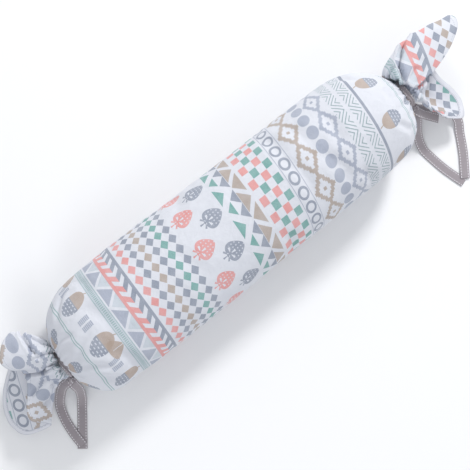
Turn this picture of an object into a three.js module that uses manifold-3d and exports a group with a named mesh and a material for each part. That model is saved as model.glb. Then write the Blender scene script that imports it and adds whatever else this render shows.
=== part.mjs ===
// Body pillow: one printed cloth tube, filled, gathered at both ends by a ribbon, its ends left as ruffles.
// Millimetres. X runs along the pillow, Z is up and Z = 0 is the surface that it lies on.
// Angles round the pillow start at the top and grow towards -Y.
import * as THREE from 'three';
import { mergeVertices } from 'three/addons/utils/BufferGeometryUtils.js';
import Module from 'manifold-3d';

const around = 64;
const axisHeight = 75;
const heightShare = 0.94;
const ruffleWall = 2.4;
const ruffleRings = 10;
const cavityRings = 6;
const cavityFloor = { ahead: 11, radius: 10 };
const pleats = 16;
const pleatDepth = 2.6;

const neck = { inner: 317, outer: 335, radius: 20, y: -6, z: 74 };
const ribbon = { width: 15, thick: 1.2, gathered: 9, gap: 0.4, middle: 327.5 };
const knot = { length: 11, width: 12, height: 15, x: 332.5, y: -30, z: 61 };

// The drawn-in body from the left neck to the right: half width against place along X.
const body = [
  { x: -317, half: 20 },
  { x: -325.5, half: 29 },
  { x: -325, half: 38 },
  { x: -320, half: 49 },
  { x: -309, half: 66 },
  { x: -297, half: 76.5 },
  { x: -280, half: 84 },
  { x: -236, half: 88 },
  { x: -174, half: 90 },
  { x: -88, half: 89 },
  { x: 0, half: 88 },
  { x: 75, half: 87 },
  { x: 150, half: 86 },
  { x: 215, half: 85 },
  { x: 252, half: 82 },
  { x: 277, half: 76 },
  { x: 291, half: 68 },
  { x: 305, half: 56 },
  { x: 315, half: 42 },
  { x: 320.5, half: 30 },
  { x: 317, half: 20 },
];
const bodyRings = 42;
const endCrowding = 0.82;

// The left ruffle: its cloth at half length, then its edge.
const leftMid = [
  { turn: 0, x: -354, y: 6, z: 89 },
  { turn: 30, x: -356, y: -4, z: 82 },
  { turn: 55, x: -358, y: -13, z: 76 },
  { turn: 80, x: -360, y: -20, z: 68 },
  { turn: 105, x: -363, y: -29, z: 57 },
  { turn: 130, x: -374, y: -29, z: 46 },
  { turn: 155, x: -380, y: -24, z: 40 },
  { turn: 180, x: -378, y: -14, z: 42 },
  { turn: 205, x: -370, y: 10, z: 50 },
  { turn: 230, x: -360, y: 34, z: 60 },
  { turn: 255, x: -344, y: 59, z: 74 },
  { turn: 280, x: -348, y: 64, z: 88 },
  { turn: 305, x: -362, y: 43, z: 98 },
  { turn: 330, x: -362, y: 22, z: 97 },
];
const leftRim = [
  { turn: 0, x: -380, y: 22, z: 82 },
  { turn: 22, x: -386, y: 8, z: 70 },
  { turn: 44, x: -398, y: -9, z: 65 },
  { turn: 62, x: -414, y: -26, z: 59 },
  { turn: 78, x: -419, y: -43, z: 53 },
  { turn: 94, x: -404, y: -60, z: 45 },
  { turn: 110, x: -402, y: -67, z: 34 },
  { turn: 126, x: -426, y: -62, z: 22 },
  { turn: 145, x: -444, y: -52, z: 15 },
  { turn: 165, x: -451, y: -30, z: 15 },
  { turn: 185, x: -445, y: -6, z: 20 },
  { turn: 205, x: -427, y: 18, z: 31 },
  { turn: 225, x: -398, y: 40, z: 44 },
  { turn: 245, x: -367, y: 64, z: 57 },
  { turn: 265, x: -359, y: 79, z: 71 },
  { turn: 285, x: -378, y: 74, z: 83 },
  { turn: 308, x: -397, y: 56, z: 88 },
  { turn: 332, x: -395, y: 37, z: 87 },
];

// The right ruffle: a long folded ear at +Y and an open mouth at -Y.
const rightMid = [
  { turn: 0, x: 350, y: -5, z: 96 },
  { turn: 30, x: 343, y: -16, z: 82 },
  { turn: 60, x: 346, y: -31, z: 67 },
  { turn: 85, x: 351, y: -48, z: 54 },
  { turn: 110, x: 360, y: -60, z: 44 },
  { turn: 135, x: 366, y: -50, z: 36 },
  { turn: 165, x: 362, y: -28, z: 40 },
  { turn: 195, x: 358, y: 0, z: 50 },
  { turn: 225, x: 362, y: 28, z: 64 },
  { turn: 255, x: 368, y: 52, z: 78 },
  { turn: 280, x: 376, y: 59, z: 92 },
  { turn: 300, x: 384, y: 46, z: 100 },
  { turn: 320, x: 380, y: 28, z: 103 },
  { turn: 340, x: 366, y: 10, z: 101 },
];
const rightRim = [
  { turn: 0, x: 396, y: -2, z: 97 },
  { turn: 20, x: 366, y: -10, z: 90 },
  { turn: 40, x: 350, y: -24, z: 72 },
  { turn: 60, x: 356, y: -44, z: 55 },
  { turn: 80, x: 370, y: -66, z: 42 },
  { turn: 100, x: 391, y: -80, z: 34 },
  { turn: 125, x: 404, y: -70, z: 30 },
  { turn: 155, x: 405, y: -45, z: 33 },
  { turn: 185, x: 397, y: -13, z: 43 },
  { turn: 215, x: 402, y: 18, z: 56 },
  { turn: 245, x: 426, y: 40, z: 70 },
  { turn: 275, x: 452, y: 49, z: 82 },
  { turn: 300, x: 461, y: 38, z: 90 },
  { turn: 320, x: 452, y: 24, z: 94 },
  { turn: 340, x: 427, y: 9, z: 96 },
];

// Ribbon runs, each along the middle of the ribbon's upper face.
const leftLegs = [
  [
    { x: -333, y: -30, z: 61 },
    { x: -341, y: -32, z: 58 },
    { x: -350, y: -32, z: 50 },
    { x: -364, y: -40, z: 25 },
    { x: -376, y: -53, z: 7 },
    { x: -383, y: -74, z: 2.2 },
    { x: -386, y: -100, z: 2.2 },
    { x: -386, y: -122, z: 2.2 },
  ],
  [
    { x: -335, y: -30, z: 60 },
    { x: -336, y: -40, z: 55 },
    { x: -336, y: -51, z: 38 },
    { x: -342, y: -63, z: 14 },
    { x: -351, y: -75, z: 2 },
    { x: -360, y: -87, z: 1.2 },
    { x: -377, y: -109, z: 1.2 },
    { x: -390, y: -126, z: 1.2 },
  ],
];
const rightLegs = [
  [
    { x: 331, y: -29, z: 61 },
    { x: 330, y: -42, z: 54 },
    { x: 323, y: -58, z: 34 },
    { x: 318, y: -75, z: 13 },
    { x: 316, y: -92, z: 2 },
    { x: 318, y: -108, z: 1.2 },
    { x: 324, y: -138, z: 1.2 },
    { x: 335, y: -173, z: 1.2 },
  ],
  [
    { x: 330, y: -30, z: 60 },
    { x: 347, y: -40, z: 30 },
    { x: 370, y: -54, z: 14 },
    { x: 387, y: -72, z: 12 },
    { x: 388, y: -90, z: 6 },
    { x: 379, y: -107, z: 2.2 },
    { x: 364, y: -134, z: 2.2 },
    { x: 340, y: -169, z: 2.2 },
  ],
  [
    { x: 329, y: -28, z: 61 },
    { x: 335, y: -42, z: 55 },
    { x: 347, y: -54, z: 38 },
    { x: 361, y: -68, z: 24 },
  ],
];

function vec(row) {
  return new THREE.Vector3(row.x, row.y, row.z);
}

// A closed smooth line through rows that are set by their turn, read at any turn.
function loopAt(rows, turn) {
  const n = rows.length;
  let i = n - 1;
  for (let k = 0; k < n; k += 1) {
    if (rows[k].turn <= turn) i = k;
  }
  const step = (k) => rows[((k % n) + n) % n];
  const place = (k) => step(k).turn + 360 * Math.floor(k / n);
  const span = place(i + 1) - place(i);
  const t = (turn - place(i)) / span;
  const out = new THREE.Vector3();
  for (const axis of ['x', 'y', 'z']) {
    const slope = (k) => (step(k + 1)[axis] - step(k - 1)[axis]) / (place(k + 1) - place(k - 1));
    const a = step(i)[axis];
    const b = step(i + 1)[axis];
    const h = t * t * (3 - 2 * t);
    out[axis] = a + (b - a) * h
      + span * (slope(i) * t * (1 - t) * (1 - t) - slope(i + 1) * t * t * (1 - t));
  }
  return out;
}

// One ring of the body; the part that would go below the surface is pressed flat.
function bodyRing(x, half, centreY, centreZ) {
  const drawn = THREE.MathUtils.smoothstep(80 - half, 0, 55);
  const ring = [];
  for (let k = 0; k < around; k += 1) {
    const a = (2 * Math.PI * k) / around;
    const share = THREE.MathUtils.lerp(heightShare, 1, drawn);
    const pleat = pleatDepth * Math.sin(Math.PI * Math.min(drawn, 1)) * Math.cos(pleats * a);
    const r = half + pleat;
    ring.push(new THREE.Vector3(
      x,
      centreY - r * Math.sin(a),
      Math.max(0, centreZ + r * share * Math.cos(a)),
    ));
  }
  return ring;
}

function bodyRingsAll() {
  const line = new THREE.CatmullRomCurve3(
    body.map((row) => new THREE.Vector3(row.x, row.half, 0)),
    false,
    'centripetal',
  );
  const rings = [];
  for (let k = 0; k <= bodyRings; k += 1) {
    const even = k / bodyRings;
    const t = even - (endCrowding * Math.sin(2 * Math.PI * even)) / (2 * Math.PI);
    const p = line.getPointAt(THREE.MathUtils.clamp(t, 0, 1));
    const end = THREE.MathUtils.smoothstep(Math.abs(p.x), 240, neck.inner);
    const y = neck.y * end;
    const z = THREE.MathUtils.lerp(axisHeight, neck.z, end);
    rings.push(bodyRing(p.x, p.y, y, z));
  }
  return rings;
}

// The rings of one ruffle from the neck to its edge.
function ruffleRingsOf(side, mid, rim) {
  const lines = [];
  for (let k = 0; k < around; k += 1) {
    const turn = (360 * k) / around;
    const a = THREE.MathUtils.degToRad(turn);
    const spoke = new THREE.Vector3(0, -Math.sin(a), Math.cos(a));
    const hub = new THREE.Vector3(side * neck.outer, neck.y, neck.z);
    const root = hub.clone().addScaledVector(spoke, neck.radius);
    const before = root.clone().setX(side * neck.inner);
    const back = Math.max(0, -Math.sin(a));
    const collar = hub.clone().addScaledVector(spoke, 30 - 14 * Math.sin(a));
    collar.x = side * (neck.outer + 3 + 5 * Math.sin(a) - (side > 0 ? 13 : 6) * back);
    const points = [before, root, collar, loopAt(mid, turn), loopAt(rim, turn)];
    const line = new THREE.CatmullRomCurve3(points, false, 'centripetal');
    const row = [];
    for (let i = 0; i <= ruffleRings; i += 1) {
      const t = 0.25 + (0.75 * i) / ruffleRings;
      row.push(line.getPoint(t));
    }
    lines.push(row);
  }
  const rings = [];
  for (let i = 0; i <= ruffleRings; i += 1) {
    rings.push(lines.map((row) => row[i]));
  }
  return rings;
}

// The inside of a ruffle: each of its rings moved in by the cloth's thickness.
function cavityOf(side, rings) {
  const last = rings.length - 1;
  const first = last - cavityRings;
  const floor = [];
  for (let k = 0; k < around; k += 1) {
    const a = (2 * Math.PI * k) / around;
    floor.push(new THREE.Vector3(
      side * (neck.outer + cavityFloor.ahead),
      neck.y - cavityFloor.radius * Math.sin(a),
      neck.z + cavityFloor.radius * Math.cos(a),
    ));
  }
  const out = [floor];
  for (let i = first; i <= last; i += 1) {
    const ring = [];
    for (let k = 0; k < around; k += 1) {
      const left = rings[i][(k + around - 1) % around];
      const right = rings[i][(k + 1) % around];
      const back = rings[i - 1][k];
      const ahead = rings[Math.min(i + 1, last)][k];
      const across = right.clone().sub(left);
      const along = ahead.clone().sub(back);
      const normal = across.cross(along).normalize().multiplyScalar(side);
      ring.push(rings[i][k].clone().addScaledVector(normal, -ruffleWall));
    }
    out.push(ring);
  }
  return out;
}

function middleOf(ring) {
  const sum = new THREE.Vector3();
  for (const p of ring) sum.add(p);
  return sum.divideScalar(ring.length);
}

// One closed skin over a row of rings, with a point at each end.
function skin(rings, startPoint, endPoint) {
  const positions = [];
  const index = [];
  for (const ring of rings) {
    for (const p of ring) positions.push(p.x, p.y, p.z);
  }
  const start = positions.length / 3;
  positions.push(startPoint.x, startPoint.y, startPoint.z);
  positions.push(endPoint.x, endPoint.y, endPoint.z);
  const end = start + 1;
  const last = (rings.length - 1) * around;
  for (let k = 0; k < around; k += 1) {
    const next = (k + 1) % around;
    index.push(start, next, k);
    index.push(end, last + k, last + next);
    for (let i = 0; i < rings.length - 1; i += 1) {
      const a = i * around + k;
      const b = i * around + next;
      const c = a + around;
      const d = b + around;
      index.push(a, b, c, b, d, c);
    }
  }
  const geometry = new THREE.BufferGeometry();
  geometry.setAttribute('position', new THREE.Float32BufferAttribute(positions, 3));
  geometry.setIndex(index);
  return geometry;
}

function coverGeometry() {
  const leftRings = ruffleRingsOf(-1, leftMid, leftRim);
  const rightRings = ruffleRingsOf(1, rightMid, rightRim);
  const leftInside = cavityOf(-1, leftRings);
  const rightInside = cavityOf(1, rightRings);
  const rings = [
    ...leftInside,
    ...leftRings.slice().reverse(),
    ...bodyRingsAll(),
    ...rightRings,
    ...rightInside.slice().reverse(),
  ];
  const startPoint = middleOf(leftInside[0]);
  const endPoint = middleOf(rightInside[0]);
  return skin(rings, startPoint, endPoint);
}

// A flat ribbon along a run of points; its width stays level and crosses the run.
function ribbonRun(rows) {
  const line = new THREE.CatmullRomCurve3(rows.map(vec), false, 'centripetal');
  const steps = 6 * (rows.length - 1);
  const positions = [];
  const index = [];
  const up = new THREE.Vector3(0, 0, 1);
  for (let i = 0; i <= steps; i += 1) {
    const p = line.getPointAt(i / steps);
    const ahead = line.getTangentAt(i / steps);
    const across = new THREE.Vector3().crossVectors(up, ahead).normalize();
    const normal = new THREE.Vector3().crossVectors(ahead, across);
    for (const [w, h] of [[-1, 0], [1, 0], [1, -1], [-1, -1]]) {
      const q = p.clone()
        .addScaledVector(across, (w * ribbon.width) / 2)
        .addScaledVector(normal, h * ribbon.thick);
      positions.push(q.x, q.y, Math.max(0, q.z));
    }
  }
  for (let i = 0; i < steps; i += 1) {
    for (let c = 0; c < 4; c += 1) {
      const a = 4 * i + c;
      const b = 4 * i + ((c + 1) % 4);
      index.push(a, a + 4, b, b, a + 4, b + 4);
    }
  }
  const end = 4 * steps;
  index.push(0, 1, 2, 0, 2, 3);
  index.push(end, end + 2, end + 1, end, end + 3, end + 2);
  const geometry = new THREE.BufferGeometry();
  geometry.setAttribute('position', new THREE.Float32BufferAttribute(positions, 3));
  geometry.setIndex(index);
  return geometry;
}

// The ribbon's turn round the neck.
function wrapGeometry(side) {
  const inner = neck.radius + ribbon.gap;
  const outer = inner + 2 * ribbon.thick;
  const half = ribbon.gathered / 2;
  const outline = [
    new THREE.Vector2(inner, -half),
    new THREE.Vector2(outer, -half),
    new THREE.Vector2(outer, half),
    new THREE.Vector2(inner, half),
    new THREE.Vector2(inner, -half),
  ];
  const geometry = new THREE.LatheGeometry(outline, 48);
  geometry.rotateZ(-Math.PI / 2);
  geometry.translate(side * ribbon.middle, neck.y, neck.z);
  return geometry;
}

function knotGeometry(side) {
  const geometry = new THREE.SphereGeometry(1, 20, 12);
  geometry.scale(knot.length / 2, knot.width / 2, knot.height / 2);
  geometry.translate(side * knot.x, knot.y, knot.z);
  return geometry;
}

const wasm = await Module();
wasm.setup();

function toManifold(source) {
  const bare = source.clone();
  bare.deleteAttribute('normal');
  bare.deleteAttribute('uv');
  const welded = mergeVertices(bare, 1e-4);
  const mesh = new wasm.Mesh({
    numProp: 3,
    vertProperties: new Float32Array(welded.attributes.position.array),
    triVerts: new Uint32Array(welded.index.array),
  });
  return new wasm.Manifold(mesh);
}

function fromManifold(solid) {
  const mesh = solid.getMesh();
  const geometry = new THREE.BufferGeometry();
  geometry.setAttribute('position', new THREE.BufferAttribute(mesh.vertProperties, 3));
  geometry.setIndex(new THREE.BufferAttribute(mesh.triVerts, 1));
  return geometry;
}

function tieGeometry(side, legs) {
  const pieces = [toManifold(wrapGeometry(side)), toManifold(knotGeometry(side))];
  for (const leg of legs) pieces.push(toManifold(ribbonRun(leg)));
  return fromManifold(wasm.Manifold.union(pieces));
}

const group = new THREE.Group();

function add(name, geometry, colour) {
  const material = new THREE.MeshStandardMaterial({ color: colour, roughness: 0.9 });
  const mesh = new THREE.Mesh(geometry, material);
  mesh.name = name;
  group.add(mesh);
}

add('cover', coverGeometry(), 0xe3e4ec);
add('tie_left', tieGeometry(-1, leftLegs), 0x8f868c);
add('tie_right', tieGeometry(1, rightLegs), 0x8f868c);

export default group;
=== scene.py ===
"""Body pillow: a filled tube of printed cotton, drawn in at both ends by a ribbon, with ruffled ends."""

import math

import bpy
import numpy as np
from mathutils import Matrix, Vector, noise


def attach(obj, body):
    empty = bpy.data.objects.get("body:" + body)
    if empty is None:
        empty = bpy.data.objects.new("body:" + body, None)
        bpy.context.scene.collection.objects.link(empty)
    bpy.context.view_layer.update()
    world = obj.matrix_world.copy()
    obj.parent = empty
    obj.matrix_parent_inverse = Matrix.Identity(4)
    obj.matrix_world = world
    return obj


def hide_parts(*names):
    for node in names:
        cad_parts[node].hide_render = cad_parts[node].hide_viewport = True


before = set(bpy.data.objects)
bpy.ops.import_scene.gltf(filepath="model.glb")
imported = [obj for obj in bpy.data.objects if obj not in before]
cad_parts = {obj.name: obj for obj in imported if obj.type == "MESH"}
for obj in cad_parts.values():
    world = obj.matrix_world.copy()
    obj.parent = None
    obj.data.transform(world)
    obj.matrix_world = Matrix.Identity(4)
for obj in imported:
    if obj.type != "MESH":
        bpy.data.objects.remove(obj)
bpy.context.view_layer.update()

# Tables are in millimetres. Turns start at the top and grow towards -Y, in degrees.
MM = 0.001
TO_MM = 1000.0

# Columns of faces round the pillow, rows along its body and each ruffle, and how far the body's rows
# crowd towards its ends, from 0 to 1.
AROUND = 240
BODY_ROWS = 161
RUFFLE_ROWS = 46
CROWDING = 0.72

# Points that each kind of line is measured with.
SAMPLES = {"body": 4000, "ribbon": 400, "fold": 50}

# The cloth's half width, from its middle on top to the seam underneath, its wall, and its turned hem.
# The stitches run in a groove a little inside the hem's width.
HALF_CLOTH = 284.0
WALL = 1.5
HEM = {"width": 8.0, "extra": 0.5, "stitch": 1.5, "groove": 0.35, "groove_width": 0.7}
FAR_FROM_HEM = 60.0

# The print repeats along the cloth, and it slants a little more towards the right end. On a ruffle
# it shifts round by PRINT_DROP for each millimetre down.
PERIOD = 604.0
PERIOD_START = 297.0
SLANT = {"least": 0.028, "more": 0.067, "from": -250, "to": 270, "wide": 170}
PRINT_DROP = 0.4

# The body's middle line and its height as a share of its width. Its section turns round, and its
# gathers begin, where its half width falls below these.
AXIS_HEIGHT = 75.0
HEIGHT_SHARE = 0.94
BODY_END = {"from": 240, "round_below": 80, "round_over": 55, "gather_below": 84, "gather_over": 46}
NECK = {"inner": 317.0, "outer": 335.0, "radius": 20.0, "y": -6.0, "z": 74.0}
RIBBON = {"width": 15.0, "thick": 0.9, "gathered": 9.0, "middle": 327.5, "step": 1.6, "lowest": 0.02}
HALF_TAPE = 0.5 * RIBBON["width"]
KNOT = {"length": 11.0, "width": 12.0, "height": 15.0, "x": 332.5, "y": -30.0, "z": 61.0, "tape": 20.0}

# The gathers: the depth of each kind, and the level that counts as flat between valley and crest.
GATHERS = {"flat": 0.75, "body": 2.6, "ruffle": 4.4, "neck": 2.4}

# Uneven cloth: height, size and seed of each layer of smooth noise.
BODY_GRAIN = [(0.9, 60, 3), (0.5, 24, 11)]
END_GRAIN = (0.7, 17, 23)
FINE_GRAIN = (0.5, 15, 31)
RUFFLE_GRAIN = [(1.1, 22, 5), (0.5, 10, 15)]
CREASE_STRENGTH = 2.1

# The cloth next to a neck, on the ruffle's side: its radius, how far out it starts, how both change
# from the near to the far side, and how far it leans back over the neck behind.
COLLAR = {"radius": 30, "radius_change": 14, "out": 3, "out_change": 5, "back": {-1: 6, 1: 13}}

# The right ruffle's near lip leans out: the turns where it rises and falls, how far, and how wide.
# Its hem is bound between the last two turns.
LIP = {"rise": (16, 44), "fall": (94, 122), "out": 11.0, "wide": 19, "bound": (14, 124)}
LIP_HEADING = (0, -1, -0.25)

# The hollow of a ruffle starts at this row, on a small floor this far out from the neck.
CAVITY = {"row": 17, "out": 11, "radius": 9, "print_back": 15, "edge_on": 20}

# The body's cloth simulation: its settings, its last frame, and the most that a point may move.
CLOTH_RULES = {
    "quality": 5,
    "mass": 0.02,
    "tension_stiffness": 15,
    "compression_stiffness": 5,
    "shear_stiffness": 5,
    "bending_stiffness": 0.05,
    "air_damping": 1,
    "use_pressure": True,
    "uniform_pressure_force": 10,
}
LAST_FRAME = 20
MOST_MOVE = 9

# The camera, in metres. Its picture's right and down are shares of the way along the pillow and
# of the way towards -Y.
CAMERA = {
    "place": (-0.19125, -0.01365, 2.10261),
    "aim": (-0.00915, -0.01365, 0.080),
    "right": (0.785, 0.620),
    "down": (-0.620, 0.785),
    "lens": 103.7,
    "sensor": 36,
}

# Area lights, in metres and watts: name, place, aim, size, power, colour.
LIGHTS = [
    ("key", (3.0, 1.5, 2.6), (0, 0, 0.08), 0.8, 106, (1, 1, 1)),
    ("fill", (-1.8, -1.6, 2.2), (-0.2, 0, 0.08), 1.2, 15, (0.93, 0.96, 1.0)),
]
DAYLIGHT = {"colour": (0.95, 0.97, 1.0, 1), "strength": 0.66}
FLOOR = {"half": 6, "below": 0.0005, "colour": (0.93, 0.93, 0.94, 1), "roughness": 0.9}

# x, half width
BODY = [
    (-317, 20),
    (-325.5, 29),
    (-325, 38),
    (-320, 49),
    (-309, 66),
    (-297, 76.5),
    (-280, 84),
    (-236, 88),
    (-174, 90),
    (-88, 89),
    (0, 88),
    (75, 87),
    (150, 86),
    (215, 85),
    (252, 82),
    (277, 76),
    (291, 68),
    (305, 56),
    (315, 42),
    (320.5, 30),
    (317, 20),
]

# turn, x, y, z
LEFT_MID = [
    (0, -354, 6, 89),
    (30, -356, -4, 82),
    (55, -358, -13, 76),
    (80, -360, -20, 68),
    (105, -363, -29, 57),
    (130, -374, -29, 46),
    (155, -380, -24, 40),
    (180, -378, -14, 42),
    (205, -370, 10, 50),
    (230, -360, 34, 60),
    (255, -344, 59, 74),
    (280, -348, 64, 88),
    (305, -362, 43, 98),
    (330, -362, 22, 97),
]
LEFT_RIM = [
    (0, -380, 22, 82),
    (22, -386, 8, 70),
    (44, -398, -9, 65),
    (62, -414, -26, 59),
    (78, -419, -43, 53),
    (94, -404, -60, 45),
    (110, -402, -67, 34),
    (126, -426, -62, 22),
    (145, -444, -52, 15),
    (165, -451, -30, 15),
    (185, -445, -6, 20),
    (205, -427, 18, 31),
    (225, -398, 40, 44),
    (245, -367, 64, 57),
    (265, -359, 79, 71),
    (285, -378, 74, 83),
    (308, -397, 56, 88),
    (332, -395, 37, 87),
]
RIGHT_MID = [
    (0, 350, -5, 96),
    (30, 343, -16, 82),
    (60, 346, -31, 67),
    (85, 351, -48, 54),
    (110, 360, -60, 44),
    (135, 366, -50, 36),
    (165, 362, -28, 40),
    (195, 358, 0, 50),
    (225, 362, 28, 64),
    (255, 368, 52, 78),
    (280, 376, 59, 92),
    (300, 384, 46, 100),
    (320, 380, 28, 103),
    (340, 366, 10, 101),
]
RIGHT_RIM = [
    (0, 396, -2, 97),
    (20, 366, -10, 90),
    (40, 350, -24, 72),
    (60, 356, -44, 55),
    (80, 370, -66, 42),
    (100, 391, -80, 34),
    (125, 404, -70, 30),
    (155, 405, -45, 33),
    (185, 397, -13, 43),
    (215, 402, 18, 56),
    (245, 426, 40, 70),
    (275, 452, 49, 82),
    (300, 461, 38, 90),
    (320, 452, 24, 94),
    (340, 427, 9, 96),
]

# Ribbon runs, x, y, z along the middle of the upper face.
LEFT_LEGS = [
    [
        (-333, -30, 61),
        (-341, -32, 58),
        (-350, -32, 50),
        (-364, -40, 25),
        (-376, -53, 7),
        (-383, -74, 2.2),
        (-386, -100, 2.2),
        (-386, -122, 2.2),
    ],
    [
        (-335, -30, 60),
        (-336, -40, 55),
        (-336, -51, 38),
        (-342, -63, 14),
        (-351, -75, 2),
        (-360, -87, 1.2),
        (-377, -109, 1.2),
        (-390, -126, 1.2),
    ],
]
RIGHT_LEGS = [
    [
        (331, -29, 61),
        (330, -42, 54),
        (323, -58, 34),
        (318, -75, 13),
        (316, -92, 2),
        (318, -108, 1.2),
        (324, -138, 1.2),
        (335, -173, 1.2),
    ],
    [
        (330, -30, 60),
        (347, -40, 30),
        (370, -54, 14),
        (387, -72, 12),
        (388, -90, 6),
        (379, -107, 2.2),
        (364, -134, 2.2),
        (340, -169, 2.2),
    ],
    [
        (329, -28, 61),
        (335, -42, 55),
        (347, -54, 38),
        (361, -68, 24),
    ],
]

# Creases pressed into the body: place round and along the cloth, heading from +X, length, width,
# depth.
CREASES = [
    (57, -326, 60, 22, 2.2, 1.4),
    (-36, -306, 28, 56, 4.5, 1.5),
    (2, -296, -22, 60, 6.0, 1.4),
    (40, -290, 40, 66, 5.5, 1.5),
    (84, -280, 62, 60, 5.5, 1.6),
    (-84, -282, -50, 60, 6.0, 1.5),
    (66, -246, 76, 80, 8.0, 1.4),
    (-20, -242, 70, 70, 8.0, 1.3),
    (-78, -232, 84, 60, 7.0, 1.2),
    (-62, 112, 84, 90, 8.0, 1.6),
    (6, 116, 86, 100, 8.0, 2.0),
    (-48, 152, 80, 80, 8.0, 1.5),
    (30, 168, 80, 96, 9.0, 1.8),
    (-22, 196, 98, 80, 8.0, 1.5),
    (84, 200, 76, 70, 8.0, 1.4),
    (-95, 262, 60, 60, 6.0, 1.3),
    (56, 288, 66, 56, 5.0, 1.3),
    (-26, 300, -66, 50, 5.0, 1.3),
    (92, 50, 86, 80, 9.0, 1.2),
    (-100, -50, 92, 90, 9.0, 1.2),
    (108, -140, 82, 76, 8.0, 1.2),
    (10, -90, 75, 90, 10.0, 0.9),
    (-30, 20, 100, 90, 10.0, 0.9),
]

# Folds of each ruffle: depth, width, then the places they pass, as share of the way to the rim and
# turn.
LEFT_FOLDS = [
    (15.0, 2.4, [(0.02, 342), (0.27, 346), (0.53, 354), (0.8, 370), (1.0, 368)]),
    (6.5, 2.4, [(0.8, 256), (0.69, 278), (0.6, 295), (0.55, 312)]),
    (6.0, 2.2, [(0.53, 285), (0.44, 292), (0.36, 300), (0.18, 304)]),
    (4.5, 2.2, [(0.18, 318), (0.31, 320), (0.44, 321), (0.55, 322)]),
    (5.5, 2.4, [(0.53, 84), (0.64, 79), (0.69, 98), (0.8, 92), (0.85, 86)]),
    (3.4, 3.0, [(0.22, 30), (0.53, 36), (0.8, 44), (0.93, 50)]),
    (3.4, 3.0, [(0.2, 62), (0.4, 60), (0.62, 62)]),
]
RIGHT_FOLDS = [
    (8.0, 2.8, [(0.71, 272), (0.64, 280), (0.55, 294), (0.48, 305), (0.42, 325), (0.27, 340), (0.1, 345)]),
    (4.6, 2.4, [(0.2, 290), (0.31, 297), (0.44, 302)]),
    (4.2, 2.2, [(0.1, 302), (0.22, 318), (0.31, 322)]),
    (3.0, 3.6, [(0.22, 358), (0.42, 345), (0.6, 336)]),
    (10.0, 2.6, [(0.08, 372), (0.44, 368), (0.7, 370), (0.96, 376)]),
    (4.6, 2.6, [(0.22, 50), (0.4, 58), (0.6, 52), (0.75, 48)]),
    (3.4, 3.0, [(0.2, 100), (0.45, 104), (0.7, 100)]),
]

# How the print lies on each ruffle: turns from and to, heading of the print, a point, and the
# print's place there.
LEFT_PRINT = [
    (240, 412, -18, (-368.1, 63.8, 88), -9.6, -440.8),
    (52, 125, 37, (-383.8, -18.3, 50), -9.6, -440.8),
    (125, 240, -24, (-421.0, -11.8, 25), 2.4, -501.4),
]
RIGHT_PRINT = [
    (225, 380, -16, (361.6, 26.7, 98), 0.0, 402.5),
    (100, 225, 4, (393.9, -25.5, 45), 0.0, 497.2),
    (20, 100, -2, (366.1, -30.7, 50), 0.0, 412.0),
]


def linear(red, green, blue):
    """A colour given as 0 to 255 screen values, as the shader's linear ones."""
    out = []
    for value in (red, green, blue):
        c = value / 255
        out.append(c / 12.92 if c <= 0.04045 else ((c + 0.055) / 1.055) ** 2.4)
    return (*out, 1.0)


INKS = {
    "cloth": linear(231, 233, 240),
    "pale": linear(208, 216, 224),
    "mint": linear(160, 190, 190),
    "sage": linear(146, 170, 174),
    "teal": linear(112, 172, 164),
    "coral": linear(236, 157, 152),
    "grey": linear(148, 156, 172),
    "mist": linear(172, 179, 196),
    "taupe": linear(186, 170, 157),
    "nut": linear(187, 167, 151),
    "hem": linear(236, 237, 244),
    # Painted shade: a dark line along the inner border of the turned hem.
    "painted_hem_shade": linear(150, 156, 174),
    "stitch": linear(176, 181, 196),
    # Painted shade: a dark line along the rim where the cloth folds over.
    "fold": linear(160, 166, 184),
    "seam": linear(170, 175, 190),
    "shade": linear(150, 156, 176),
    "tape": linear(180, 172, 176),
    "tape_dark": linear(158, 149, 155),
    "tape_twill": linear(122, 114, 122),
    "tape_border": linear(126, 117, 124),
    "tape_stitch": linear(240, 238, 242),
}


def smoothstep(value, low, high):
    t = np.clip((value - low) / (high - low), 0, 1)
    return t * t * (3 - 2 * t)


def spline(points, shares):
    """Points on the smooth open line through a table's points, at shares of its spans."""
    points = np.asarray(points, float)
    spans = len(points) - 1
    first = 2 * points[:1] - points[1:2]
    last = 2 * points[-1:] - points[-2:-1]
    p = np.concatenate([first, points, last])
    gap = np.maximum(np.linalg.norm(np.diff(p, axis=0), axis=-1) ** 0.5, 0.01)[..., None]
    place = np.clip(shares, 0, 1) * spans
    i = np.minimum(place.astype(int), spans - 1)
    f = (place - i).reshape((-1,) + (1,) * (points.ndim - 1))
    a, b, c, d = p[i], p[i + 1], p[i + 2], p[i + 3]
    g0, g1, g2 = gap[i], gap[i + 1], gap[i + 2]
    leave = ((b - a) / g0 - (c - a) / (g0 + g1) + (c - b) / g1) * g1
    reach = ((c - b) / g1 - (d - b) / (g1 + g2) + (d - c) / g2) * g1
    return b + leave * f + (3 * c - 3 * b - 2 * leave - reach) * f**2 + (2 * b - 2 * c + leave + reach) * f**3


def loop_at(rows, turn):
    """A point on the closed smooth line through rows that are set by their turn."""
    n = len(rows)
    i = max([k for k in range(n) if rows[k][0] <= turn], default=n - 1)

    def row(k):
        return np.array(rows[k % n][1:], float)

    def place(k):
        return rows[k % n][0] + 360 * (k // n)

    def slope(k):
        return (row(k + 1) - row(k - 1)) / (place(k + 1) - place(k - 1))

    span = place(i + 1) - place(i)
    t = (turn - place(i)) / span
    h = t * t * (3 - 2 * t)
    bend = slope(i) * t * (1 - t) ** 2 - slope(i + 1) * t * t * (1 - t)
    return row(i) + (row(i + 1) - row(i)) * h + span * bend


ANGLES = -math.pi + 2 * math.pi * np.arange(AROUND) / AROUND
SPOKES = np.stack([0 * ANGLES, -np.sin(ANGLES), np.cos(ANGLES)], axis=-1)
MARKS = HALF_CLOTH * np.linspace(-1, 1, AROUND + 1)


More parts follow.
